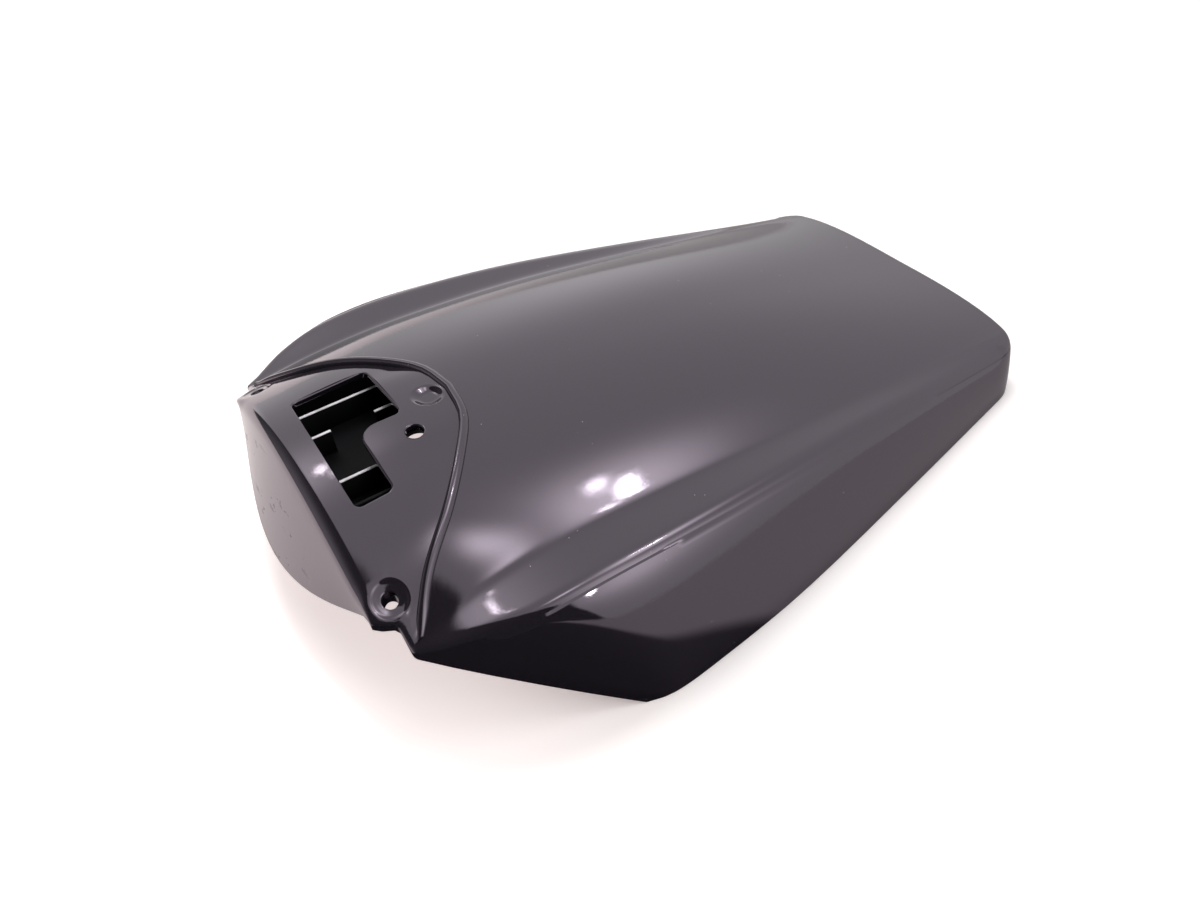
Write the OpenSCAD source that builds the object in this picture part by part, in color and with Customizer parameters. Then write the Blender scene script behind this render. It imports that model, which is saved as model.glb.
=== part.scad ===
/* [Overall] */
// Length over the front wall and the tail
cowl_l = 385; // [360:1:420]
// Width over the two side lobes, where the cowl is widest
cowl_w = 293; // [280:1:310]
// Wall thickness of the moulding
wall = 2.6; // [2:0.1:3.2]

/* [Heights above the rim] */
// Middle of the front fold
fold_z = 76; // [70:0.5:82]
// Highest point of the dome
crest_z = 78; // [74:0.5:84]
// Dome half way to the tail
ridge_z = 61; // [58:0.5:66]
// Middle of the tail edge
tail_z = 27; // [24:0.5:32]
// Front corner tips
tip_z = 47.6; // [44:0.5:52]
// Crease between dome and shelf at its highest
crease_z = 56.3; // [53:0.5:60]
// Crease between dome and shelf at the tail
crease_tail_z = 21; // [19:0.5:23]

/* [Plan] */
// Front corner tips, behind the front wall's foremost point
tip_x = 25.5; // [24:0.5:28]
// Width over the two front corner tips
tip_w = 200; // [190:1:210]
// Width between the creases at mid length
crease_w = 183; // [176:1:190]
// Width between the creases at the tail
crease_tail_w = 163; // [156:1:170]
// Widest part of each side shelf
shelf_w = 23.5; // [18:0.5:28]
// Width of each side shelf at the tail
shelf_tail_w = 7.6; // [6:0.2:10]
// Rim where the front edge reaches it, behind the front wall
lobe_x = 104; // [96:1:112]
// Width over the rim at the tail corners
rim_tail_w = 203; // [196:1:212]

/* [Edges] */
// Rounding of the outer shelf edge and the tail edge
edge_r = 5; // [3:0.5:6]
// Rounding of the front fold
fold_r = 5; // [3:0.5:7]
// Depth of the turned-in lip along the front edge
lip_d = 5; // [4:0.1:6]

/* [Front wall] */
// Front fold in the middle, behind the wall's foremost point
fold_x = 19; // [16:0.5:22]
// Height of the front wall in the middle
front_h = 45; // [40:1:52]
// Half width at which the front wall ends
front_half_w = 82; // [78:0.5:84]

/* [Bead] */
// Top of the arched bead, behind the front wall
bead_x = 96.6; // [90:0.5:104]
// Width of the bead
bead_w = 4.4; // [3.6:0.1:5.5]
// Height of the bead
bead_h = 1.9; // [1.2:0.1:2.4]
// Step from the bead down to the panel beside it
panel_step = 1.2; // [0.6:0.1:1.4]

/* [Window] */
// Front edge of the window, behind the front wall's foremost point
window_x = 32; // [29:0.5:35]
// Length of the window's wide part
window_l = 39; // [34:0.5:42]
// Length of its narrow leg
window_leg_l = 18; // [14:0.5:22]
// Width of the whole window
window_w = 80; // [70:1:84]
// Width of the wide part
window_wide_w = 43; // [38:1:50]
// Rounding of the window's outer corners
window_r = 3; // [2:0.5:4]
// Rounding of its inner corner
window_inner_r = 9; // [6:0.5:11]

/* [Holes] */
// Diameter of the two corner screw holes
screw_d = 6.4; // [5:0.1:7]
// Distance between the two corner screw holes
screw_span = 159.6; // [154:0.2:164]
// Corner screw holes, behind the front wall's foremost point
screw_x = 27.5; // [26:0.5:30]
// Diameter of the shallow seats round them
seat_d = 14.6; // [13:0.1:16]
// Depth of those seats
seat_depth = 1; // [0.6:0.1:1.3]
// Length of the boss under each corner screw hole
screw_boss_l = 6; // [4:0.5:9]
// Diameter of the small hole beside the window
small_hole_d = 7.9; // [6:0.1:9]
// Diameter of the blind dimple behind the small hole
dimple_d = 15; // [12:0.1:16]
// Depth of the blind dimple
dimple_depth = 1.2; // [0.8:0.1:1.5]

/* [Inner base] */
// Thickness of the base plate
base_t = 2.2; // [1.8:0.1:3]
// Height of the base plate's underside
base_z = 52; // [48:0.5:54]
// Height of the ribs on the base plate
base_rib_h = 12; // [8:0.5:13]
// Thickness of those ribs
base_rib_t = 1.6; // [1.2:0.1:2.2]
// Spacing of the ribs
base_rib_pitch = 17; // [14:0.5:18]
// Diameter of the bosses that the base is screwed to
boss_d = 6.4; // [5.8:0.2:7]
// Diameter of the base screws
base_screw_d = 2.9; // [2.5:0.1:3.2]
// Depth of the base screws in their bosses
base_screw_grip = 7; // [5:0.5:9]
// Diameter of their heads
base_head_d = 6; // [5:0.1:7]

/* [Hidden] */

gloss_black = [0.07, 0.06, 0.08];
matt_black = [0.12, 0.12, 0.13];
zinc = [0.62, 0.62, 0.6];

tail_x = cowl_l - 3;          // tail edge on the middle plane
fan_x = tail_x - 30;          // where the section lines start to fan round the tail
fan_step = 1.1;               // spacing of their feet along the middle plane

// Sections count outwards from the middle plane: dome, shelf, rounded edge, skirt
dome_rows = [0, 0.15, 0.31, 0.47, 0.63, 0.78, 0.9, 1];
shelf_rows = [0.3, 1];
round_steps = [0.33, 0.67, 1];
skirt_rows = [0.2, 0.45, 0.72, 1];
// Stations count backwards from the front wall's lower edge: wall, fold, panel, bead, dome, tail
wall_steps = [1, 0.7, 0.35];
fold_steps = [0, 0.33, 0.67, 1];
panel_steps = [0.3, 0.65];
bead_steps = [-1, -0.5, 0.5, 1];
dome_steps = [0.06, 0.15, 0.26, 0.38, 0.52, 0.68, 0.84, 1];
tail_fan = [0.4, 0.75, 0.92, 1.05, 1.2, 1.45, 1.72, 2];
tail_power = 8;               // squareness of the tail corners in plan

n_dome = len(dome_rows) - 1;
n_shelf = n_dome + len(shelf_rows);
n_round = n_shelf + len(round_steps);
n_rows = n_round + len(skirt_rows);
m_wall = len(wall_steps);
m_fold = m_wall + len(fold_steps);
m_panel = m_fold + len(panel_steps);
m_bead = m_panel + len(bead_steps);
m_dome = m_bead + len(dome_steps);
n_cols = m_dome + len(tail_fan) - 1;

// Plain helpers
function mix(a, b, t) = a + (b - a) * t;
function ease(t) = let (c = min(1, max(0, t))) c * c * (3 - 2 * c);
function unit(v) = v / max(norm(v), 1e-6);
function bend(a, b, c, t) = mix(mix(a, b, t), mix(b, c, t), t);

// A smooth curve through knots [position, value]
function knot_slope(k, i) =
    let (a = k[max(i - 1, 0)], b = k[min(i + 1, len(k) - 1)]) (b[1] - a[1]) / (b[0] - a[0]);
function knot_before(k, x, i = 0) = i >= len(k) - 2 || x < k[i + 1][0] ? i : knot_before(k, x, i + 1);
function smooth(k, x) =
    let (
        i = knot_before(k, x),
        h = k[i + 1][0] - k[i][0],
        t = (x - k[i][0]) / h,
        s = min(1, max(0, t)),
        beyond = (t - s) * h,
        slope = knot_slope(k, t > 1 ? i + 1 : i)
    )
    (2 * s * s * s - 3 * s * s + 1) * k[i][1] + (s * s * s - 2 * s * s + s) * h * knot_slope(k, i)
    + (3 * s * s - 2 * s * s * s) * k[i + 1][1] + (s * s * s - s * s) * h * knot_slope(k, i + 1)
    + beyond * slope;

// Lines of the body in plan and in side view
crease_y_knots = [[tip_x, tip_w / 2 - 1.6], [tip_x + 35, crease_w / 2 + 2.6], [200, crease_w / 2],
                  [tail_x, crease_tail_w / 2]];
crease_z_knots = [[tip_x, tip_z], [tip_x + 35, crease_z - 1.6], [110, crease_z], [200, mix(crease_z, crease_tail_z, 0.23)],
                  [tail_x, crease_tail_z]];
shelf_w_knots = [[tip_x, 2.4], [tip_x + 11, shelf_w * 0.43], [tip_x + 23, shelf_w * 0.72], [tip_x + 47, shelf_w],
                 [138, shelf_w], [256, mix(shelf_w, shelf_tail_w, 0.56)], [tail_x, shelf_tail_w]];
shelf_rise_knots = [[tip_x, 0], [150, 1.2], [256, 0.5], [tail_x, -3.6]];
crest_knots = [[fold_x, fold_z], [70, crest_z], [230, ridge_z], [tail_x, tail_z]];
rim_y_knots = [[lobe_x, cowl_w / 2 - 3], [lobe_x + 12, cowl_w / 2], [lobe_x + 35, cowl_w / 2 - 2.4],
               [187, mix(cowl_w, rim_tail_w, 0.21) / 2], [264, mix(cowl_w, rim_tail_w, 0.55) / 2],
               [tail_x - 20, rim_tail_w / 2]];
bead_knots = [[0, bead_x], [0.228, bead_x - 3.8], [0.44, bead_x - 16], [0.657, bead_x - 33],
              [0.843, bead_x - 53], [1, tip_x + 5]];

function crease_y(x) = smooth(crease_y_knots, x);
function crease_h(x) = smooth(crease_z_knots, x);
function edge_y(x) = crease_y(x) + smooth(shelf_w_knots, max(x, tip_x));
function crest_h(x) = smooth(crest_knots, x);

// Height of the top: an arched dome that runs into the shelf with a soft crease
crease_soft = 1.5;
function dome_power(x) = mix(2, 3, ease(x / tail_x));
function dome_h(x, y) =
    crest_h(x) - (crest_h(x) - crease_h(x)) * pow(abs(y) / crease_y(x), dome_power(x));
function shelf_h(x, y) =
    crease_h(x) + smooth(shelf_rise_knots, x) * max(0, abs(y) - crease_y(x)) / (edge_y(x) - crease_y(x));
function top_h(x, y) =
    let (d = dome_h(x, y), s = shelf_h(x, y)) (d + s + sqrt(pow(d - s, 2) + pow(crease_soft, 2))) / 2
    - crease_soft / 4;

// Front line: the fold, then a notch beside each end of the front wall, then the corner tip
function front_x(y) =
    mix(fold_x - 2 * pow(y / front_half_w, 2), tip_x, ease((abs(y) - front_half_w - 1) / 7));
function front_reach(y) = max(0, 1 - pow(y / front_half_w, 2));

// Rounded tail corner: q runs from 0 on the side to 2 on the middle plane
function corner_side(q) = q <= 1 ? q * pow(0.5, 1 / tail_power) : pow(1 - pow(corner_back(q), tail_power), 1 / tail_power);
function corner_back(q) = q >= 1 ? (2 - q) * pow(0.5, 1 / tail_power) : pow(1 - pow(corner_side(q), tail_power), 1 / tail_power);

// Place of a station along the line at share t of the dome's half width
function bead_at(t) = smooth(bead_knots, min(t, 1));
function bead_half(t) =
    let (s = (bead_at(t + 0.02) - bead_at(t - 0.02)) / (0.04 * crease_w / 2))
    bead_w / 2 * sqrt(1 + (t > 0.98 ? 1 : s * s));
function station_x(t, m) =
    let (
        front = front_x(min(t, 1) * crease_y(tip_x)),
        b = bead_at(t),
        hw = min(bead_half(t), (b - front) * 0.3)
    )
    m < m_fold ? front
    : m < m_panel ? mix(front + min(fold_r, (b - front) * 0.3), b - hw, panel_steps[m - m_fold])
    : m < m_bead ? b + hw * bead_steps[m - m_panel]
    : mix(b + hw, fan_x, dome_steps[m - m_bead]);

// Foot of a section line on the middle plane, and its end on the top's outer edge
function fan(m) = m < m_dome ? 0 : tail_fan[m - m_dome];
function foot_x(m) = m < m_dome ? station_x(0, m) : fan_x + fan_step * (m - m_dome + 1);
function edge_at(m) =
    m < m_dome
    ? let (front = station_x(1, 0), x = mix(tip_x, fan_x, (station_x(1, m) - front) / (fan_x - front)))
      [x, -edge_y(x), shelf_h(x, edge_y(x))]
    : let (
          q = fan(m),
          x = mix(fan_x, tail_x, corner_side(q)),
          y = edge_y(x) * corner_back(q)
      ) [x, -y, top_h(x, y)];
function crease_share(m) =
    let (e = edge_at(m), reach = norm([e[0] - foot_x(m), e[1]]))
    m < m_dome ? crease_y(e[0]) / -e[1] : min(crease_y(e[0]) / edge_y(e[0]), 1 - 1.3 * edge_r / reach);

// Rim below it
lobe_spread = 0.04;           // share of the rim that the short front stretch of the edge fans out to
lobe_stretch = 0.03;          // length of that stretch as a share of the edge
function rim_share(m) =
    let (f = max(0, (edge_at(m)[0] - tip_x) / (fan_x - tip_x)))
    pow(f, 1.25) + lobe_spread * min(1, f / lobe_stretch) * (1 - f);
function rim_at(m) =
    m < m_dome
    ? let (x = mix(lobe_x, fan_x, rim_share(m))) [x, -smooth(rim_y_knots, x), 0]
    : let (
          q = fan(m),
          x = mix(fan_x, cowl_l, corner_side(q))
      ) [x, -smooth(rim_y_knots, x) * corner_back(q), 0];

// Skirt from the edge to the rim: hollow-fronted at the lobe, nearly flat along the side
function front_pull(m) = m < m_fold ? 1 : m >= m_dome ? 0 : pow(1 - (edge_at(m)[0] - tip_x) / (fan_x - tip_x), 6);
skirt_bulge = 1.6;
function skirt_at(m, u) =
    let (
        e = edge_at(m), r = rim_at(m), pull = front_pull(m),
        a = mix(u, 1 - pow(1 - u, 1.6), pull),
        out = unit([r[0] - e[0], r[1] - e[1]]),
        swell = skirt_bulge * 4 * u * (1 - u) * (1 - pull)
    )
    [mix(e[0], r[0], pow(a, 1 + 1.3 * pull)) + out[0] * swell, mix(e[1], r[1], a) + out[1] * swell,
     e[2] * (1 - pow(a, mix(1.15, 3.6, pull)))];

// A point of the smooth outer surface, without the bead
function plan_at(m, share) =
    let (e = edge_at(m)) m < m_dome ? [0, e[1] * share] : [mix(foot_x(m), e[0], share), e[1] * share];
function top_at(i, m) =
    i <= n_dome
    ? let (t = dome_rows[i], p = plan_at(m, t * crease_share(m)))
      m < m_dome
      ? let (x = station_x(t, m), y = t * crease_y(x)) [x, -y, top_h(x, y)]
      : [p[0], p[1], top_h(p[0], p[1])]
    : let (
          e = edge_at(m), c = crease_share(m), foot = [foot_x(m), 0],
          span = m < m_dome ? -e[1] * (1 - c) : norm([e[0] - foot[0], e[1]]) * (1 - c),
          inset = 1 - min(edge_r, span * 0.7) / span * (1 - c) ,
          s = mix(c, inset, shelf_rows[i - n_dome - 1]),
          x = m < m_dome ? e[0] : mix(foot[0], e[0], s),
          y = -e[1] * s
      ) [x, -y, top_h(x, y)];
function upper_at(i, m) =
    i <= n_shelf ? top_at(i, m)
    : let (
          a = top_at(n_shelf, m), e = edge_at(m), k = skirt_at(m, 0.3),
          below = e + unit(k - e) * norm(e - a)
      )
      i <= n_round ? bend(a, e, below, round_steps[i - n_shelf - 1])
      : let (u = skirt_rows[i - n_round - 1], from = norm(e - a) / norm(rim_at(m) - e))
        skirt_at(m, mix(min(from, 0.12), 1, u));

// The front edge folds down into the front wall, or into a narrow lip
function lip_at(i) =
    let (
        c = upper_at(i, m_wall), g = front_reach(c[1]), deep = max(lip_d, front_h * g),
        out = i > n_round ? skirt_rows[i - n_round - 1] : 0
    )
    i <= n_round ? [-(fold_x) * pow(g, 1.4), 0, -deep]
    : lip_d * [mix(0.15, 0.8, out), mix(0.1, 0.6, out), -max(0, mix(1, 0, out))];
function shell_at(i, m) =
    let (
        c = upper_at(i, m_wall), d = lip_at(i), back = upper_at(i, m_fold),
        r = min(fold_r, norm(d) * 0.45, norm(back - c) * 0.8)
    )
    m < m_wall ? c + d * mix(r / norm(d), 1, wall_steps[m])
    : m < m_fold ? bend(c + unit(d) * r, c, c + unit(back - c) * r, fold_steps[m - m_wall])
    : upper_at(i, m);

// Bead and the step beside it stand on the outer surface only
function bead_lift(i, m) =
    m >= m_bead || i > n_dome ? 0
    : let (t = dome_rows[i], p = shell_at(i, m), fade = 1 - ease((t - 0.9) / 0.12))
      m >= m_panel ? (m == m_panel ? -panel_drop(p[1]) * fade
                      : bead_h * mix(0.3, 1, fade) * sqrt(max(0, 1 - pow(bead_steps[m - m_panel], 2))))
      : m >= m_fold ? -panel_drop(p[1]) * fade * panel_steps[m - m_fold] : 0;
function panel_drop(y) = panel_step * ease((abs(y) - 20) / 12);

base_grid = [for (i = [0:n_rows]) [for (m = [0:n_cols]) shell_at(i, m)]];
function mirror_y(p) = [p[0], -p[1], p[2]];
function grid(i, m) =
    i < 0 ? mirror_y(base_grid[-i][m]) : m > n_cols ? mirror_y(base_grid[i][2 * n_cols - m]) : base_grid[i][m];
function normal_at(i, m) =
    let (
        across = grid(min(i + 1, n_rows), m) - grid(i - 1, m),
        along = grid(i, m + 1) - grid(i, max(m - 1, 0))
    ) unit(cross(along, across));

outer_grid = [for (i = [0:n_rows]) [for (m = [0:n_cols]) base_grid[i][m] + [0, 0, bead_lift(i, m)]]];
// The wall thins where a rounded edge is tighter than the wall is thick
function thin_front(i) = 0.33 * norm(base_grid[i][m_wall] - base_grid[i][m_fold - 1]);
function thin_edge(m) = 0.4 * norm(base_grid[n_shelf][m] - base_grid[n_round][m]);
function wall_at(i, m) = min(
    wall,
    thin_front(i) + 0.12 * norm(base_grid[i][m] - base_grid[i][m_wall + 1]),
    thin_edge(m) + 0.2 * norm(base_grid[i][m] - base_grid[n_shelf + 1][m])
);
inner_grid = [
    for (i = [0:n_rows]) [
        for (m = [0:n_cols])
            let (p = base_grid[i][m] + wall_at(i, m) * normal_at(i, m))
            [p[0], i == 0 ? 0 : m == n_cols ? 0 : p[1], i == n_rows ? 0 : max(p[2], 0.2)]
    ]
];

// The moulding as one closed skin: outside, inside, and the edge that joins them
cols = n_cols + 1;
half = (2 * n_rows + 1) * cols;
function spread(g) = [
    for (i = [-n_rows:n_rows]) for (m = [0:n_cols]) i < 0 ? mirror_y(g[-i][m]) : g[i][m]
];
function at(i, m) = ((m == n_cols ? abs(i) : i) + n_rows) * cols + m;
function tri_pair(a, b, c, d) = [[a, b, c], [a, c, d]];
skin_faces = [
    for (i = [-n_rows:n_rows - 1]) for (m = [0:n_cols - 1]) each
        i == 0 && m == n_cols - 1 ? [[at(0, m), at(1, m + 1), at(1, m)]]
        : i == -1 && m == n_cols - 1 ? [[at(0, m), at(-1, m), at(1, m + 1)]]
        : i < 0 ? tri_pair(at(i + 1, m), at(i, m), at(i, m + 1), at(i + 1, m + 1))
        : tri_pair(at(i, m), at(i, m + 1), at(i + 1, m + 1), at(i + 1, m))
];
function flipped(f) = [f[0], f[2], f[1]];
edge_faces = concat(
    [for (i = [-n_rows:n_rows - 1]) each tri_pair(at(i, 0), at(i + 1, 0), at(i + 1, 0) + half, at(i, 0) + half)],
    [for (m = [0:n_cols - 1]) each tri_pair(at(n_rows, m), at(n_rows, m + 1), at(n_rows, m + 1) + half, at(n_rows, m) + half)],
    [for (m = [0:n_cols - 1]) each tri_pair(at(-n_rows, m + 1), at(-n_rows, m), at(-n_rows, m) + half, at(-n_rows, m + 1) + half)]
);

module skin() {
    polyhedron(
        points = concat(spread(outer_grid), spread(inner_grid)),
        faces = concat(
            skin_faces,
            [for (f = skin_faces) flipped(f + [half, half, half])],
            edge_faces
        ),
        convexity = 6
    );
}

// Direction square to the top at a place in plan
function top_normal(x, y) =
    unit([top_h(x - 1, y) - top_h(x + 1, y), top_h(x, y - 1) - top_h(x, y + 1), 2]);
module on_top(x, y) {
    n = top_normal(x, y);
    translate([x, y, top_h(x, y)]) rotate([0, acos(n[2]), atan2(n[1], n[0])]) children();
}

// Window: wide on the far side of the middle, with a narrow leg towards the near side
module window_outline() {
    near = -window_w / 2 - 1.5;
    far = near + window_w;
    inner = far - window_wide_w;
    offset(r = window_r, $fn = 20) offset(delta = -window_r)
        offset(delta = -window_inner_r) offset(r = window_inner_r, $fn = 24)
            polygon([[window_x + 1.5, near], [window_x, (near + far) / 2], [window_x + 2.5, far],
                     [window_x + window_l, far], [window_x + window_l, inner],
                     [window_x + window_leg_l, inner], [window_x + window_leg_l, near]]);
}

small_hole_x = window_x + window_l - 0.3;
small_hole_y = -19;
dimple_x = bead_x - bead_w / 2 - dimple_d / 2 - 0.9;
base_posts = [[29, 52], [84, 34]];
boss_sink = 1.5;              // how far below the outer surface a boss top ends, inside the wall
cut_over = 20;                // how far a cut runs past the surface

module both_sides() {
    children();
    mirror([0, 1, 0]) children();
}

module boss(x, y) {
    z = base_z + base_t;
    translate([x, y, z]) cylinder(d = boss_d, h = top_h(x, y) - boss_sink - z, $fn = 32);
}

module screw_boss() {
    on_top(screw_x, screw_span / 2)
        translate([0, 0, -seat_depth - screw_boss_l]) cylinder(d = seat_d - 1, h = screw_boss_l - 0.6, $fn = 48);
}

module screw_hole() {
    on_top(screw_x, screw_span / 2) {
        translate([0, 0, -cut_over]) cylinder(d = screw_d, h = 2 * cut_over, $fn = 48);
        translate([0, 0, -seat_depth]) cylinder(d = seat_d, h = cut_over, $fn = 64);
    }
}

module dimple() {
    ball = (pow(dimple_d / 2, 2) + pow(dimple_depth, 2)) / (2 * dimple_depth);
    on_top(dimple_x, 0) translate([0, 0, ball - dimple_depth]) sphere(r = ball, $fn = 96);
}

module outer_cover() {
    color(gloss_black) translate([-cowl_l / 2, 0, 0]) difference() {
        union() {
            skin();
            both_sides() {
                for (p = base_posts) boss(p[0], p[1]);
                screw_boss();
            }
        }
        translate([0, 0, base_z + base_t + 3]) linear_extrude(height = 2 * cut_over + 10) window_outline();
        both_sides() {
            screw_hole();
            for (p = base_posts)
                translate([p[0], p[1], base_z]) cylinder(d = base_screw_d + 0.1, h = base_t + base_screw_grip + 1, $fn = 32);
        }
        on_top(small_hole_x, small_hole_y)
            translate([0, 0, -cut_over / 2]) cylinder(d = small_hole_d, h = cut_over, $fn = 48);
        dimple();
    }
}

// Ribbed base under the panel, dark through the window
base_front = 23;
base_back = bead_x - 5;
base_half_w = base_posts[0][1] + 5;
base_back_half_w = base_posts[1][1] + 5;
rib_front = base_front + 3;
rib_back = base_posts[1][0] - boss_d / 2 - 1;
rib_gap = [44, 65];           // the far inner rib is broken here
rib_rows = [-2, -1, 1, 2];

module base_rib(side) {
    y = side * base_rib_pitch;
    difference() {
        translate([rib_front, y - base_rib_t / 2, base_t - 0.4])
            cube([rib_back - rib_front, base_rib_t, base_rib_h + 0.4]);
        if (side == 1)
            translate([rib_gap[0], y - base_rib_t, base_t])
                cube([rib_gap[1] - rib_gap[0], 2 * base_rib_t, base_rib_h + 1]);
    }
}

module inner_base() {
    color(matt_black) translate([-cowl_l / 2, 0, base_z]) difference() {
        union() {
            linear_extrude(height = base_t)
                polygon([[base_front, -base_half_w], [base_posts[0][0] + 8, -base_half_w],
                         [base_back, -base_back_half_w], [base_back, base_back_half_w],
                         [base_posts[0][0] + 8, base_half_w], [base_front, base_half_w]]);
            for (side = rib_rows) base_rib(side);
        }
        both_sides() for (p = base_posts)
            translate([p[0], p[1], -1]) cylinder(d = base_screw_d + 0.5, h = base_t + 2, $fn = 32);
    }
}

head_h = 1.8;
head_gap = 0.05;              // play under a screw head
module base_screw() {
    translate([0, 0, -head_h - head_gap]) cylinder(d = base_head_d, h = head_h, $fn = 32);
    translate([0, 0, -head_gap - 0.5]) cylinder(d = base_screw_d, h = base_t + base_screw_grip, $fn = 32);
}

module base_screws() {
    color(zinc) translate([-cowl_l / 2, 0, base_z])
        both_sides() for (p = base_posts) translate([p[0], p[1], 0]) base_screw();
}

outer_cover();
inner_base();
base_screws();
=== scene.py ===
from math import atan2, cos, hypot, pi, radians, sin, sqrt
import bmesh
import bpy
import numpy as np
from mathutils import Matrix, Vector


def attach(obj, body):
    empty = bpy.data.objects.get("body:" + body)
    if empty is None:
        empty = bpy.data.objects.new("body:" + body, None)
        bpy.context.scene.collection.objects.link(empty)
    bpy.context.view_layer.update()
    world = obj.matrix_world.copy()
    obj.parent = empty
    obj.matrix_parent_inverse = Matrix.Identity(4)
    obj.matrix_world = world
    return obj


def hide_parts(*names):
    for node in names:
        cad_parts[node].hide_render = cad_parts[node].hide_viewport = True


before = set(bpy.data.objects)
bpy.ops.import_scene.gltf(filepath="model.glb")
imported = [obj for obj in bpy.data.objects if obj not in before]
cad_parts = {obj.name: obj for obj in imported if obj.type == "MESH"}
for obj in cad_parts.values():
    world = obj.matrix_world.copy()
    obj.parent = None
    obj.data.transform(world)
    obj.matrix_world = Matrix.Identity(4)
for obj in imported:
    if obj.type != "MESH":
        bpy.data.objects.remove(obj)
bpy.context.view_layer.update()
print("frame loaded:", sorted(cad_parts))

mm = 0.001
scene = bpy.context.scene
scene.view_settings.view_transform = "Standard"

# Camera at the photograph's place, fitted to a 1200 x 900 frame
cameraSetup = {"place": (-206.8, -328.88, 342.19), "lens": 28.93, "sensor": 36,
               "right": (0.83455, -0.54607, -0.07301), "up": (0.41687, 0.53926, 0.73172),
               "forward": (0.36019, 0.6411, -0.67768)}


def addCamera(c):
    data = bpy.data.cameras.new("camera")
    data.lens, data.sensor_width = c["lens"], c["sensor"]
    camera = bpy.data.objects.new("camera", data)
    turn = Matrix((c["right"], c["up"], [-v for v in c["forward"]])).transposed()
    camera.matrix_world = Matrix.Translation(Vector(c["place"]) * mm) @ turn.normalized().to_4x4()
    scene.collection.objects.link(camera)
    scene.camera = camera


addCamera(cameraSetup)


# Shader maths written as expressions on sockets
class Value:
    def __init__(self, tree, socket):
        self.tree, self.socket = tree, socket

    def math(self, operation, *others, clamp=False):
        made = self.tree.node("ShaderNodeMath", {"operation": operation, "use_clamp": clamp},
                              {i: v for i, v in enumerate((self,) + others)})
        return made

    def __add__(self, other): return self.math("ADD", other)
    def __radd__(self, other): return self.math("ADD", other)
    def __mul__(self, other): return self.math("MULTIPLY", other)
    def __rmul__(self, other): return self.math("MULTIPLY", other)
    def __sub__(self, other): return self.math("SUBTRACT", other)
    def __rsub__(self, other): return (self * -1) + other
    def __pow__(self, other): return self.math("POWER", other)
    def __gt__(self, other): return self.math("GREATER_THAN", other)

    def clamped(self): return self.math("ADD", 0, clamp=True)

    def ramp(self, low, high):
        return self.tree.node("ShaderNodeMapRange", {"interpolation_type": "SMOOTHSTEP"},
                              {"Value": self, "From Min": low, "From Max": high})


class Tree:
    def __init__(self, tree):
        self.tree = tree

    def node(self, kind, settings=None, inputs=None, output=0):
        made = self.tree.nodes.new(kind)
        for name, value in (settings or {}).items():
            setattr(made, name, value)
        for name, value in (inputs or {}).items():
            if isinstance(value, Value):
                self.tree.links.new(value.socket, made.inputs[name])
            else:
                made.inputs[name].default_value = value
        return Value(self, made.outputs[output])

    def place(self):
        return self.node("ShaderNodeTexCoord", output="Object")

    def noise(self, where, scale, detail=2.0, roughness=0.5, stretch=None):
        if stretch:
            where = self.node("ShaderNodeMapping", None, {"Vector": where, "Scale": stretch})
        return self.node("ShaderNodeTexNoise", None,
                         {"Vector": where, "Scale": scale, "Detail": detail, "Roughness": roughness})

    def cells(self, where, scale):
        return self.node("ShaderNodeTexVoronoi", {"feature": "F1"}, {"Vector": where, "Scale": scale}, "Distance")

    def blend(self, share, first, second):
        return self.node("ShaderNodeMix", {"data_type": "RGBA"}, {0: share, 6: first, 7: second}, 2)

    def bump(self, height, strength, distance, normal=None):
        inputs = {"Height": height, "Strength": strength, "Distance": distance}
        if normal:
            inputs["Normal"] = normal
        return self.node("ShaderNodeBump", None, inputs)


def newMaterial(name, fixed):
    material = bpy.data.materials.new(name)
    material.use_nodes = True
    shader = material.node_tree.nodes["Principled BSDF"]
    for socket, value in fixed.items():
        shader.inputs[socket].default_value = value
    return material, Tree(material.node_tree), shader


def feed(tree, shader, socket, value):
    tree.tree.links.new(value.socket, shader.inputs[socket])


# The cowl's own sizes, in millimetres, x from the foremost point of its front wall
cowl = {"length": 385, "width": 293, "wall": 2.6, "shellShare": 0.55,
        "foldHeight": 76, "crestHeight": 78, "ridgeHeight": 61, "tailHeight": 27, "tipHeight": 47.6,
        "creaseHeight": 56.3, "creaseTailHeight": 21,
        "tipX": 25.5, "tipWidth": 200, "creaseWidth": 183, "creaseTailWidth": 163,
        "shelfWidth": 23.5, "shelfTailWidth": 7.6, "lobeX": 99.5, "rimTailWidth": 203,
        "edgeRound": 5, "foldRound": 5, "lipDepth": 3.6,
        "foldX": 19, "frontHeight": 45, "frontHalfWidth": 82,
        "beadX": 96.6, "beadWidth": 4.4, "beadHeight": 1.9, "panelStep": 1.2,
        "creaseSoft": 1.5, "skirtBulge": 1.6, "tailPower": 8, "rimPower": 3.4, "tailRound": 2, "tailInset": 1.2, "rimInset": 1.9,
        "lobeSpread": 0.04, "lobeStretch": 0.03, "fit": (1, 0.997, 0.9957)}
tailX = cowl["length"] - cowl["tailInset"]
fanX = tailX - 30
fanReach = 8.8


def mix(a, b, t): return a + (b - a) * t


def ease(t):
    c = min(1, max(0, t))
    return c * c * (3 - 2 * c)


def knotSlope(knots, i):
    a, b = knots[max(i - 1, 0)], knots[min(i + 1, len(knots) - 1)]
    return (b[1] - a[1]) / (b[0] - a[0])


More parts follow.
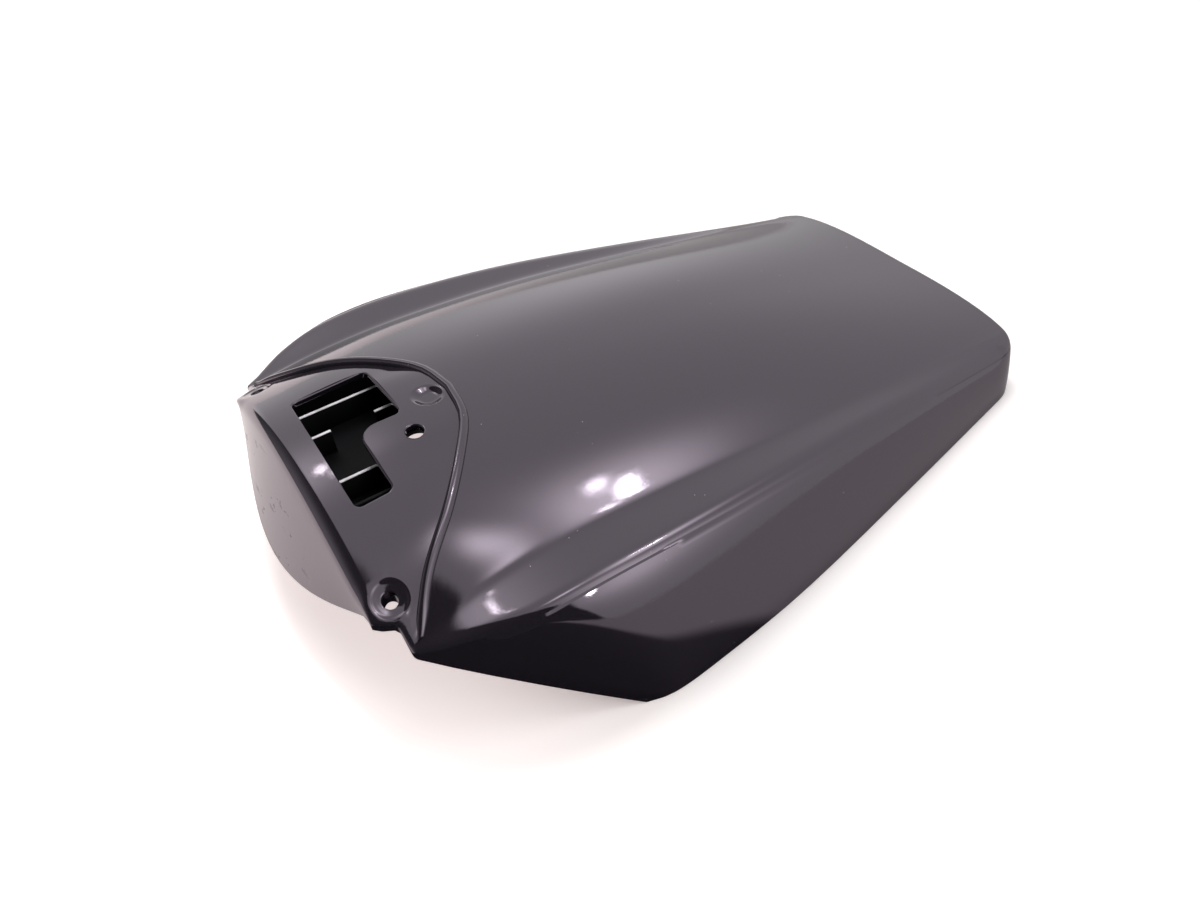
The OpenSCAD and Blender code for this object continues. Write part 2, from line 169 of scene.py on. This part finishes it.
def smooth(knots, x):
    i = 0
    while i < len(knots) - 2 and x >= knots[i + 1][0]:
        i += 1
    h = knots[i + 1][0] - knots[i][0]
    t = (x - knots[i][0]) / h
    s = min(1, max(0, t))
    beyond = (t - s) * h * knotSlope(knots, i + 1 if t > 1 else i)
    return ((2 * s ** 3 - 3 * s * s + 1) * knots[i][1] + (s ** 3 - 2 * s * s + s) * h * knotSlope(knots, i)
            + (3 * s * s - 2 * s ** 3) * knots[i + 1][1] + (s ** 3 - s * s) * h * knotSlope(knots, i + 1) + beyond)


c = cowl
lines = {
    "creaseY": [[c["tipX"], c["tipWidth"] / 2 - 1.6], [c["tipX"] + 35, c["creaseWidth"] / 2 + 2.6],
                [200, c["creaseWidth"] / 2], [tailX, c["creaseTailWidth"] / 2]],
    "creaseZ": [[c["tipX"], c["tipHeight"]], [c["tipX"] + 35, c["creaseHeight"] - 1.6], [110, c["creaseHeight"]],
                [200, mix(c["creaseHeight"], c["creaseTailHeight"], 0.23)], [tailX, c["creaseTailHeight"]]],
    "shelfWidth": [[c["tipX"], 2.4], [c["tipX"] + 11, c["shelfWidth"] * 0.43], [c["tipX"] + 23, c["shelfWidth"] * 0.72],
                   [c["tipX"] + 47, c["shelfWidth"]], [138, c["shelfWidth"]],
                   [256, mix(c["shelfWidth"], c["shelfTailWidth"], 0.56)], [tailX, c["shelfTailWidth"]]],
    "shelfRise": [[c["tipX"], 0], [150, 1.2], [256, 0.5], [tailX, -3.6]],
    "crest": [[c["foldX"], c["foldHeight"]], [70, c["crestHeight"]], [230, c["ridgeHeight"]], [tailX, c["tailHeight"]]],
    "rimY": [[c["lobeX"], c["width"] / 2 - 3], [c["lobeX"] + 12, c["width"] / 2], [c["lobeX"] + 35, c["width"] / 2 - 1.2],
             [187, mix(c["width"], c["rimTailWidth"], 0.21) / 2 + 1.6], [264, mix(c["width"], c["rimTailWidth"], 0.55) / 2 + 1.4],
             [tailX - 20, c["rimTailWidth"] / 2]],
    "bead": [[0, c["beadX"]], [0.228, c["beadX"] - 3.8], [0.44, c["beadX"] - 16], [0.657, c["beadX"] - 33],
             [0.843, c["beadX"] - 53], [1, c["tipX"] + 5]],
}


def creaseY(x): return smooth(lines["creaseY"], x)
def creaseZ(x): return smooth(lines["creaseZ"], x)
def edgeY(x): return creaseY(x) + smooth(lines["shelfWidth"], max(x, cowl["tipX"]))


def topHeight(x, y):
    crest, crease, side = smooth(lines["crest"], x), creaseZ(x), creaseY(x)
    dome = crest - (crest - crease) * (abs(y) / side) ** mix(2, 3, ease(x / tailX))
    shelf = crease + smooth(lines["shelfRise"], x) * max(0, abs(y) - side) / (edgeY(x) - side)
    soft = cowl["creaseSoft"]
    return (dome + shelf + sqrt((dome - shelf) ** 2 + soft ** 2)) / 2 - soft / 4


def frontX(y):
    return mix(cowl["foldX"] - 2 * (y / cowl["frontHalfWidth"]) ** 2, cowl["tipX"],
               ease((abs(y) - cowl["frontHalfWidth"] - 1) / 7))


# The arched bead: its middle line and half width at share t of the dome's half width
def beadAt(t): return smooth(lines["bead"], min(t, 1))


def beadHalf(t):
    slope = (beadAt(t + 0.02) - beadAt(t - 0.02)) / (0.04 * cowl["creaseWidth"] / 2)
    full = cowl["beadWidth"] / 2 * sqrt(1 + (1 if t > 0.98 else slope * slope))
    front = frontX(min(t, 1) * creaseY(cowl["tipX"]))
    return min(full, (beadAt(t) - front) * 0.3)


def panelDrop(y): return cowl["panelStep"] * ease((abs(y) - 20) / 12)
def beadFade(t): return 1 - ease((t - 0.9) / 0.12)


def panelEnds(t):
    front, b = frontX(min(t, 1) * creaseY(cowl["tipX"])), beadAt(t)
    return front, front + min(cowl["foldRound"], (b - front) * 0.3), b - beadHalf(t)


# Place of a station (zone, share) along the line at share t of the dome's half width
def stationX(t, zone, s):
    front, low, high = panelEnds(t)
    if zone == "front":
        return front
    if zone == "panel":
        return mix(low, high, s)
    if zone == "bead":
        return beadAt(t) + beadHalf(t) * s
    return mix(beadAt(t) + beadHalf(t), fanX, s)


def cornerSide(q, power):
    half = 0.5 ** (1 / power)
    return q * half if q <= 1 else (1 - ((2 - q) * half) ** power) ** (1 / power)


def footX(zone, s): return fanX + fanReach * ease(s / 2) ** 0.6 if zone == "tail" else 0


def edgeAt(zone, s):
    if zone == "tail":
        x = mix(fanX, tailX, cornerSide(s, cowl["tailPower"]))
        y = edgeY(x) * cornerSide(2 - s, cowl["tailPower"])
        return Vector((x, -y, topHeight(x, y)))
    front = stationX(1, "front", 0)
    x = mix(cowl["tipX"], fanX, (stationX(1, zone, s) - front) / (fanX - front))
    return Vector((x, -edgeY(x), topHeight(x, edgeY(x))))


def rimAt(zone, s, edge):
    if zone == "tail":
        x = mix(fanX, cowl["length"] - cowl["rimInset"], cornerSide(s, cowl["rimPower"]))
        return Vector((x, -smooth(lines["rimY"], x) * cornerSide(2 - s, cowl["rimPower"]), 0))
    f = max(0, (edge.x - cowl["tipX"]) / (fanX - cowl["tipX"]))
    x = mix(cowl["lobeX"], fanX, f ** 1.25 + cowl["lobeSpread"] * min(1, f / cowl["lobeStretch"]) * (1 - f))
    return Vector((x, -smooth(lines["rimY"], x), 0))


# The skirt from the shelf's edge to the rim, hollow at the front lobe
def skirtAt(zone, s, u, edge, rim):
    pull = 1 if zone == "front" else 0 if zone == "tail" else (1 - (edge.x - cowl["tipX"]) / (fanX - cowl["tipX"])) ** 6
    a = mix(u, 1 - (1 - u) ** 1.6, pull)
    out = Vector((edge.x - footX(zone, s), edge.y, 0) if zone == "tail" else (rim.x - edge.x, rim.y - edge.y, 0)).normalized()
    swell = cowl["skirtBulge"] * 4 * u * (1 - u) * (1 - pull)
    fall = mix(1.15, 1.03, pull) + 2 * pull * (1 - pull)
    return Vector((mix(edge.x, rim.x, a ** (1 + 0.13 * pull)) + out.x * swell, mix(edge.y, rim.y, a) + out.y * swell,
                   edge.z * (1 - a ** fall)))


def bend(a, b, c, t): return a.lerp(b, t).lerp(b.lerp(c, t), t)


# A point of the upper surface: row (part, share) outwards, station (zone, share) backwards
def upperAt(row, station):
    (part, k), (zone, s) = row, station
    edge = edgeAt(zone, s)
    foot = Vector((footX(zone, s) if zone == "tail" else edge.x, 0, 0))
    reach = hypot(edge.x - foot.x, edge.y)
    crease = creaseY(edge.x) / edgeY(edge.x)
    if zone == "tail":
        crease = min(crease, 1 - 1.3 * cowl["edgeRound"] / reach)
    if part == "dome":
        if zone == "tail":
            x, y = mix(foot.x, edge.x, k * crease), edge.y * k * crease
            return Vector((x, y, topHeight(x, y)))
        x = stationX(k, zone, s)
        return Vector((x, -k * creaseY(x), topHeight(x, k * creaseY(x))))
    span = reach * (1 - crease)
    rounding = cowl["tailRound"] if zone == "tail" and s > 0.5 else cowl["edgeRound"]
    inset = 1 - min(rounding, span * 0.7) / span * (1 - crease)

    def shelfAt(share):
        x, y = mix(foot.x, edge.x, share), edge.y * share
        return Vector((x, y, topHeight(x, y)))
    if part == "shelf":
        return shelfAt(mix(crease, inset, k))
    rim = rimAt(zone, s, edge)
    start = shelfAt(inset)
    length = (edge - start).length
    below = edge + (skirtAt(zone, s, 0.3, edge, rim) - edge).normalized() * length
    if part == "round":
        return bend(start, edge, below, k)
    first = min(length / (rim - edge).length, 0.12)
    return skirtAt(zone, s, mix(first, 1, k), edge, rim)


# The front edge folds down into the front wall, or into a narrow lip
def frontFold(row, station):
    part, k = row
    corner, back = upperAt(row, ("front", 0)), upperAt(row, ("panel", 0.3))
    g = max(0, 1 - (corner.y / cowl["frontHalfWidth"]) ** 2)
    if part == "skirt":
        down = Vector((mix(0.15, 0.8, k), mix(0.1, 0.6, k), k - 1)) * cowl["lipDepth"] * (1 - 0.45 * min(1, 6 * k))
    else:
        down = Vector((-cowl["foldX"] * g ** 1.4, 0, -max(cowl["lipDepth"], cowl["frontHeight"] * g)))
    r = min(cowl["foldRound"], down.length * 0.45, (back - corner).length * 0.8)
    zone, s = station
    if zone == "wall":
        return corner + down * mix(r / down.length, 1, s)
    return bend(corner + down.normalized() * r, corner, corner + (back - corner).normalized() * r, s)


def shellPoint(row, station):
    if station[0] in ("wall", "fold"):
        return frontFold(row, station)
    point = upperAt(row, station)
    if row[0] == "dome" and station[0] in ("panel", "bead"):
        fade, s = beadFade(row[1]), station[1]
        if station[0] == "panel":
            point.z -= panelDrop(point.y) * fade * s
        elif s > -1:
            point.z += cowl["beadHeight"] * mix(0.3, 1, fade) * sqrt(max(0, 1 - s * s))
        else:
            point.z -= panelDrop(point.y) * fade
    return point


# Height of the finished panel at a place in plan, used by all that sits in it
def panelHeight(x, y):
    t = min(1, abs(y) / creaseY(x))
    front, low, high = panelEnds(t)
    share = min(1, max(0, (x - low) / (high - low)))
    return topHeight(x, y) - panelDrop(y) * beadFade(t) * share


def spaced(count, power=1.0, first=0):
    return [(i / count) ** power for i in range(first, count + 1)]


shellRows = {"dome": [1 - (1 - v) ** 2 for v in spaced(28)], "shelf": spaced(13, 1.7, 1),
             "round": spaced(9, 1, 1), "skirt": spaced(16, 1.1, 1)}
shellStations = {"wall": [1, 0.75, 0.5, 0.25, 0.1], "fold": spaced(7), "panel": [0.3 + 0.7 * v for v in spaced(20)][:-1],
                 "bead": [-cos(pi * v / 10) for v in range(11)], "dome": spaced(46, 1.15, 1),
                 "tail": [0.12, 0.25, 0.38, 0.5, 0.6, 0.68, 0.75, 0.81, 0.87, 0.92, 0.96, 1, 1.04, 1.08, 1.13, 1.19, 1.26,
                          1.34, 1.43, 1.53, 1.64, 1.76, 1.88, 2]}


def linkPiece(name, mesh, material=None):
    piece = bpy.data.objects.new(name, mesh)
    scene.collection.objects.link(piece)
    if material:
        mesh.materials.append(material)
    return piece


def bakeModifiers(piece):
    held = bpy.data.meshes.new_from_object(piece.evaluated_get(bpy.context.evaluated_depsgraph_get()))
    piece.modifiers.clear()
    piece.data = held


def smoothFaces(mesh, angle):
    for face in mesh.polygons:
        face.use_smooth = True
    mesh.set_sharp_from_angle(angle=radians(angle))


def coverSheet():
    half = [(part, k) for part in shellRows for k in shellRows[part]]
    stations = [(zone, s) for zone in shellStations for s in shellStations[zone]]
    middle, lastStation, lastRow = len(half) - 1, len(stations) - 1, 2 * len(half) - 2
    bm = bmesh.new()
    bmesh.ops.create_grid(bm, x_segments=lastStation, y_segments=lastRow, size=1)
    places, thinning = {}, {}
    for v in bm.verts:
        m, i = round((v.co.x + 1) / 2 * lastStation), round((v.co.y + 1) / 2 * lastRow) - middle
        if (abs(i), m) not in places:
            places[abs(i), m] = shellPoint(half[abs(i)], stations[m])
        p = places[abs(i), m]
        v.co = Vector((p.x, (p.y > 0) - (p.y < 0) and (p.y if i < 0 else -p.y), p.z))
    bmesh.ops.remove_doubles(bm, verts=bm.verts, dist=0.003)
    return bm


def scaleToMetres(bm):
    bmesh.ops.transform(bm, matrix=Matrix.Scale(mm, 4) @ Matrix.Translation((-cowl["length"] / 2, 0, 0)), verts=bm.verts)


def meshFrom(bm, name):
    scaleToMetres(bm)
    mesh = bpy.data.meshes.new(name)
    bm.to_mesh(mesh)
    bm.free()
    return mesh


# Features cut into the panel: (outline, profile) pairs, each profile inward offset and depth
window = {"x": 32, "length": 39, "legLength": 18, "width": 80, "wideWidth": 43, "round": 3, "innerRound": 9, "lip": 0.9,
          "depth": 2.6}
cornerHole = {"d": 6.4, "span": 159.6, "x": 27.5, "seat": 14.6, "seatDepth": 1, "boss": 7}
smallHole = {"d": 7.9, "x": 70.7, "y": -19, "depth": 2.6}
dimple = {"d": 15, "depth": 1.9, "x": 86}


def roundedOutline(corners, steps=8):
    points = []
    for i, (x, y, r) in enumerate(corners):
        here = Vector((x, y))
        before = (Vector(corners[i - 1][:2]) - here).normalized()
        after = (Vector(corners[(i + 1) % len(corners)][:2]) - here).normalized()
        reach = r / np.tan(before.angle(after) / 2)
        a, b = here + before * reach, here + after * reach
        centre = here + (before + after).normalized() * hypot(reach, r)
        start, turn = (a - centre), (a - centre).angle_signed(b - centre)
        for k in range(steps + 1):
            spin = Matrix.Rotation(-turn * k / steps, 2)
            points.append(centre + spin @ start)
    return points


def inward(points, distance):
    moved = []
    for i, p in enumerate(points):
        along = (points[(i + 1) % len(points)] - points[i - 1]).normalized()
        moved.append(p + Vector((-along.y, along.x)) * distance)
    return moved


def windowOutline():
    w, near = window, -window["width"] / 2 - 1.5
    far, inner = near + w["width"], near + w["width"] - w["wideWidth"]
    back, leg = w["x"] + w["length"], w["x"] + w["legLength"]
    return roundedOutline([(w["x"] + 1.5, near, w["round"]), (leg, near, w["round"]), (leg, inner, w["innerRound"]),
                           (back, inner, w["round"]), (back, far, w["round"]), (w["x"] + 2.5, far, w["round"])])


def circleOutline(x, y, d, steps=64):
    return [Vector((x + d / 2 * cos(2 * pi * k / steps), y + d / 2 * sin(2 * pi * k / steps))) for k in range(steps)]


def flatLoop(bm, points, height):
    verts = [bm.verts.new((p.x, p.y, height(p))) for p in points]
    edges = [bm.edges.new((verts[i - 1], verts[i])) for i in range(len(verts))]
    return verts, edges


# A closed moulding round an opening: the profile runs in from the panel and down, then back under it
def openingLip(outline, profile):
    bm = bmesh.new()
    loops = []
    for inset, depth in profile:
        ring = inward(outline, inset) if inset else outline
        loops.append(flatLoop(bm, ring, lambda p: panelHeight(p.x, p.y) - depth)[1])
    for one, other in zip(loops, loops[1:] + loops[:1]):
        bmesh.ops.bridge_loops(bm, edges=one + other)
    bmesh.ops.recalc_face_normals(bm, faces=bm.faces)
    return bm


def prism(outline, low, high):
    bm = bmesh.new()
    verts, edges = flatLoop(bm, outline, lambda p: low)
    bottom = bm.faces.new(verts)
    top = bmesh.ops.extrude_face_region(bm, geom=[bottom])["geom"]
    bmesh.ops.translate(bm, vec=(0, 0, high - low), verts=[v for v in top if isinstance(v, bmesh.types.BMVert)])
    bmesh.ops.recalc_face_normals(bm, faces=bm.faces)
    return bm


def cutWith(piece, cutters):
    for bm in cutters:
        tool = linkPiece("tool", meshFrom(bm, "tool"))
        cut = piece.modifiers.new("cut", "BOOLEAN")
        cut.operation, cut.solver, cut.object = "DIFFERENCE", "EXACT", tool
        bakeModifiers(piece)
        bpy.data.objects.remove(tool)


def arcProfile(r, steps=5):
    return [(r * sin(pi / 2 * k / steps), r * (1 - cos(pi / 2 * k / steps))) for k in range(steps + 1)]


print("cowl sheet")
cover = linkPiece("cowlShell", meshFrom(coverSheet(), "cowlShell"))
wall = cover.modifiers.new("wall", "SOLIDIFY")
wall.thickness, wall.offset, wall.use_rim = cowl["wall"] * cowl["shellShare"] * mm, -1, True
bakeModifiers(cover)
for v in cover.data.vertices:
    v.co.z = max(v.co.z, 0)

print("openings")
lipR = window["lip"]
windowEdge = inward(windowOutline(), -lipR)
seatR, holeR = cornerHole["seat"] / 2, cornerHole["d"] / 2
cuts, lips = [prism(windowEdge, 40, 100)], []
lips.append((windowEdge, arcProfile(lipR) + [(lipR, window["depth"]), (0, window["depth"])]))
for side in (-1, 1):
    edge = circleOutline(cornerHole["x"], side * cornerHole["span"] / 2, cornerHole["seat"] + 1.4, 72)
    inner = seatR - holeR
    lips.append((edge, [(0, 0), (0.4, 0.02), (0.8, 0.1), (1.1, 0.24), (1.4, 0.4), (1.8, 0.5), (2.3, 0.55), (inner + 0.1, 0.6),
                        (inner + 0.45, 0.7), (inner + 0.65, 0.9), (inner + 0.7, 1.2), (inner + 0.7, cornerHole["boss"]),
                        (1.5, cornerHole["boss"]), (1.5, window["depth"]), (0, window["depth"])]))
    cuts.append(prism(edge, 30, 100))
edge = circleOutline(smallHole["x"], smallHole["y"], smallHole["d"] + 1.6, 56)
lips.append((edge, arcProfile(0.8) + [(0.8, smallHole["depth"]), (0, smallHole["depth"])]))
cuts.append(prism(edge, 40, 100))
edge = circleOutline(dimple["x"], 0, dimple["d"] + 0.8, 64)
cuts.append(prism(edge, 40, 100))
cutWith(cover, cuts)
print("cover faces", len(cover.data.polygons))
bm = bmesh.new()
bm.from_mesh(cover.data)
for outline, profile in lips:
    ring = openingLip(outline, profile)
    held = meshFrom(ring, "lip")
    bm.from_mesh(held)
    bpy.data.meshes.remove(held)


# The blind dimple: a shallow dish closed underneath
def dishPart(outline, reach, depth, back):
    dish = bmesh.new()
    steps = 12
    loops = []
    for k in range(steps):
        share = k / steps
        deep = depth * ease(share * 1.7) ** 0.8
        loops.append(flatLoop(dish, inward(outline, reach * share), lambda p: panelHeight(p.x, p.y) - deep))
    loops.insert(0, flatLoop(dish, outline, lambda p: panelHeight(p.x, p.y) - back))
    for one, other in zip(loops, loops[1:]):
        bmesh.ops.bridge_loops(dish, edges=one[1] + other[1])
    dish.faces.new(loops[-1][0])
    dish.faces.new(loops[0][0])
    bmesh.ops.recalc_face_normals(dish, faces=dish.faces)
    return dish


held = meshFrom(dishPart(edge, (dimple["d"] + 0.8) / 2, dimple["depth"], window["depth"]), "dish")
bm.from_mesh(held)
bmesh.ops.scale(bm, vec=cowl["fit"], verts=bm.verts)
bm.to_mesh(cover.data)
bm.free()
smoothFaces(cover.data, 42)


# Inner base with its ribs, dark behind the window
innerBase = {"thick": 2.2, "height": 52, "front": 23, "back": 91.6, "halfWidth": 62,
             "ribHeight": 12, "ribThick": 1.6, "ribPitch": 17, "ribFront": 26, "ribBack": 79.8, "ribGap": (44, 65), "sightHole": (76.5, 1.5, 12)}


def baseRibs(b):
    bm = bmesh.new()
    stretches = {-2: [(b["ribFront"], b["ribBack"])], -1: [(b["ribFront"], b["ribBack"])], 2: [(b["ribFront"], b["ribBack"])],
                 1: [(b["ribFront"], b["ribGap"][0]), (b["ribGap"][1], b["ribBack"])]}
    low, high = b["height"] + b["thick"] - 0.2, b["height"] + b["thick"] + b["ribHeight"]
    for side, parts in stretches.items():
        for x0, x1 in parts:
            place = Matrix.Translation(((x0 + x1) / 2, side * b["ribPitch"], (low + high) / 2))
            bmesh.ops.create_cube(bm, size=1, matrix=place @ Matrix.Diagonal((x1 - x0, b["ribThick"], high - low, 1)))
    bmesh.ops.bevel(bm, geom=bm.edges, offset=0.3, offset_type="OFFSET", segments=2, profile=0.5, affect="EDGES", material=-1)
    bmesh.ops.recalc_face_normals(bm, faces=bm.faces)
    return bm


print("inner base")
b = innerBase
plate = prism([Vector(p) for p in ((b["front"], b["halfWidth"]), (b["back"], b["halfWidth"]),
                                   (b["back"], -b["halfWidth"]), (b["front"], -b["halfWidth"]))],
              b["height"], b["height"] + b["thick"])
base = linkPiece("baseTray", meshFrom(plate, "baseTray"))
cutWith(base, [prism(circleOutline(*b["sightHole"]), b["height"] - 1, b["height"] + 4)])
bm = bmesh.new()
bm.from_mesh(base.data)
ribs = meshFrom(baseRibs(b), "ribs")
bm.from_mesh(ribs)
bm.to_mesh(base.data)
bm.free()
bpy.data.meshes.remove(ribs)
smoothFaces(base.data, 40)

# Gloss black moulding: deep black with a little purple, dust and hairline scratches
glossBlack = {"base": (0.010, 0.008, 0.012), "dust": (0.34, 0.32, 0.33), "rough": 0.025, "ior": 2.0, "cast": (1.0, 0.86, 1.02)}


def paintCover(g):
    material, t, shader = newMaterial("glossBlackPlastic", {"IOR": g["ior"], "Specular Tint": (*g["cast"], 1)})
    where = t.place()
    specks = t.cells(where, 240)
    mask = (t.noise(where, 45, 3) > 0.63) * (1 - specks.ramp(0.04, 0.09))
    haze = t.noise(where, 9, 4, 0.6).ramp(0.45, 0.8)
    depth = t.node("ShaderNodeSeparateXYZ", None, {"Vector": where}, "X")
    scuffs = t.noise(where, 75, 4, 0.6, (1.5, 1, 2.6)).ramp(0.6, 0.63) * (1 - depth.ramp(-0.18, -0.174)) * t.noise(where, 14, 2).ramp(0.45, 0.6)
    feed(t, shader, "Base Color", t.blend(mask * 0.6, (*g["base"], 1), (*g["dust"], 1)))
    feed(t, shader, "Roughness", haze * 0.05 + (mask + scuffs) * 0.35 + g["rough"])
    wave = t.noise(where, 12, 2)
    fine = t.noise(where, 700, 2, stretch=(1, 9, 1))
    feed(t, shader, "Normal", t.bump(wave, 0.15, 0.0006, t.bump(scuffs * -1 + fine * 0.06, 0.5, 0.0002)))
    return material


# Matt black plastic with random darker patches; the pale colour is a painted highlight on the rib tops
mattBlack = {"base": (0.003, 0.003, 0.004), "worn": (0.01, 0.01, 0.011), "paintedRibHighlight": (0.75, 0.72, 0.75), "rough": 0.6}


def paintBase(g):
    material, t, shader = newMaterial("mattBlackPlastic", {"IOR": 1.25})
    where = t.place()
    patch = t.noise(where, 30, 4).ramp(0.4, 0.75)
    height = t.node("ShaderNodeSeparateXYZ", None, {"Vector": where}, "Z")
    across = t.node("ShaderNodeSeparateXYZ", None, {"Vector": where}, "Y")
    ribTop = (innerBase["height"] + innerBase["thick"] + innerBase["ribHeight"]) * mm
    # Painted highlight: a pale colour along the tops of the ribs on one side stands in for the light their edges catch
    paintedRibHighlight = height.ramp(ribTop - 0.0004, ribTop - 0.0002) * across.ramp(-0.03, -0.026) * t.noise(where, 60, 2).ramp(0.3, 0.5)
    feed(t, shader, "Base Color", t.blend(paintedRibHighlight, t.blend(patch, (*g["base"], 1), (*g["worn"], 1)), (*g["paintedRibHighlight"], 1)))
    feed(t, shader, "Roughness", patch * 0.15 + g["rough"])
    feed(t, shader, "Normal", t.bump(t.noise(where, 1500, 2), 0.15, 0.0002))
    return material


zincPlate = {"base": (0.55, 0.55, 0.52), "dull": (0.35, 0.34, 0.3), "rough": 0.3}


def paintScrews(g):
    material, t, shader = newMaterial("zincPlate", {"Metallic": 1.0})
    where = t.place()
    patch = t.noise(where, 400, 3).ramp(0.35, 0.7)
    feed(t, shader, "Base Color", t.blend(patch, (*g["base"], 1), (*g["dull"], 1)))
    feed(t, shader, "Roughness", patch * 0.2 + g["rough"])
    feed(t, shader, "Normal", t.bump(t.noise(where, 2500, 2), 0.1, 0.0001))
    return material


print("materials")
cover.data.materials.clear()
cover.data.materials.append(paintCover(glossBlack))
base.data.materials.append(paintBase(mattBlack))
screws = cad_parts["base_screws"]
zinc = paintScrews(zincPlate)
for slot in screws.material_slots:
    slot.material = zinc

def direction(angle, rise):
    a, e = radians(angle), radians(rise)
    return (cos(e) * cos(a), cos(e) * sin(a), sin(e))


# White table top. To the camera it is lifted towards white, with a painted pool of light before the front wall that
# also weakens the shadow there. In reflections it has a painted bright sector before the front wall and a painted dark
# sector on the side of the camera's left
table = {"size": 6.0, "colour": (0.9, 0.88, 0.875), "glow": (1.0, 0.87, 0.85), "lift": 0.17, "paintedFrontLight": 0.55,
         "glossLift": 0.12, "brightAngle": 135, "darkAngle": -131, "mirrored": 0.55}


def addTable(t):
    bm = bmesh.new()
    bmesh.ops.create_grid(bm, x_segments=1, y_segments=1, size=t["size"] / 2)
    mesh = bpy.data.meshes.new("table")
    bm.to_mesh(mesh)
    bm.free()
    piece = linkPiece("table", mesh)
    material, tree, shader = newMaterial("tableTop", {"Roughness": 0.7, "IOR": 1.2, "Emission Strength": 1})
    seen = tree.node("ShaderNodeLightPath", output="Is Camera Ray")
    mirrored = tree.node("ShaderNodeLightPath", output="Is Glossy Ray")
    side = tree.node("ShaderNodeVectorMath", {"operation": "NORMALIZE"}, {0: tree.place()})

    def towards(angle):
        return tree.node("ShaderNodeVectorMath", {"operation": "DOT_PRODUCT"}, {0: side, 1: direction(angle, 0)}, "Value")
    bright = towards(t["brightAngle"]).ramp(0.2, 0.85)
    dark = towards(t["darkAngle"]).ramp(0.82, 0.88)
    # Painted light: a pool of light before the front wall for camera rays; painted bright and dark sectors and a
    # darkened base colour for glossy rays
    lift = seen * (towards(170).ramp(0.1, 0.9) * t["paintedFrontLight"] + t["lift"]) + mirrored * (bright * 0.8 + t["glossLift"]) * (1 - dark)
    feed(tree, shader, "Base Color", tree.blend(mirrored * (dark * (1 - t["mirrored"]) + t["mirrored"]), (*t["colour"], 1), (0.02, 0.02, 0.02, 1)))
    feed(tree, shader, "Emission Color", tree.blend(lift, (0, 0, 0, 1), (*t["glow"], 1)))
    mesh.materials.append(material)
    piece.location.z = -0.0002
    return piece


floor = addTable(table)

# The room: bright from the tail round to the far side, dark behind the camera, with a sharp border between.
# Each glow has its compass angle, elevation, strength and tightness, and each lamp the size of its half angle
room = {"dark": 0.05, "field": 0.72, "fieldAngle": 11, "fieldRise": 5, "farWall": (150, 10, 0.45, 6),
        "glows": [(-6, 62, 3.4, 70), (-60, 26, 2.0, 30), (-60, 48, 1.1, 40), (60, 8, 0.45, 30), (102, -4, 0.7, 40),
                  (-26, 80, 3.2, 320), (96, 50, 1.2, 60)],
        "lamps": [(1, 61, 60, 0.7), (7, 63.5, 30, 0.6), (-74, 26, 60, 0.8), (91, 51, 14, 0.9), (88, 55, 10, 0.6)]}

# A soft lamp over the far side, for the shadow alone
keyLamp = {"angle": 62, "rise": 55, "strength": 1.6, "softness": 20}


def addKeyLamp(k):
    data = bpy.data.lights.new("keyLamp", "SUN")
    data.energy, data.angle = k["strength"], radians(k["softness"])
    lamp = bpy.data.objects.new("keyLamp", data)
    lamp.rotation_euler = Vector(direction(k["angle"], k["rise"])).to_track_quat("Z", "Y").to_euler()
    lamp.visible_glossy = False
    scene.collection.objects.link(lamp)


addKeyLamp(keyLamp)


def addRoom(r):
    world = bpy.data.worlds.new("room")
    world.use_nodes = True
    scene.world = world
    tree = Tree(world.node_tree)
    back = world.node_tree.nodes["Background"]
    where = tree.node("ShaderNodeTexCoord", output="Generated")

    def towards(angle, rise):
        return tree.node("ShaderNodeVectorMath", {"operation": "DOT_PRODUCT"}, {0: where, 1: direction(angle, rise)}, "Value")

    def glow(angle, rise, strength, tightness):
        return towards(angle, rise).math("MAXIMUM", 0) ** tightness * strength
    level = glow(*r["glows"][0]) + r["field"]
    for one in r["glows"][1:]:
        level = level + glow(*one)
    for angle, rise, strength, half in r["lamps"]:
        level = level + towards(angle, rise).ramp(cos(radians(half * 1.5)), cos(radians(half))) * strength
    level = level * towards(r["fieldAngle"], r["fieldRise"]).ramp(-0.015, 0.015) + glow(*r["farWall"]) + r["dark"]
    seen = tree.node("ShaderNodeLightPath", output="Is Camera Ray")
    back.inputs["Color"].default_value = (1, 1, 1, 1)
    feed(tree, back, "Strength", level * (1 - seen) + seen)


addRoom(room)

for piece in (cover, base):
    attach(piece, "root")
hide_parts("outer_cover")
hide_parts("inner_base")
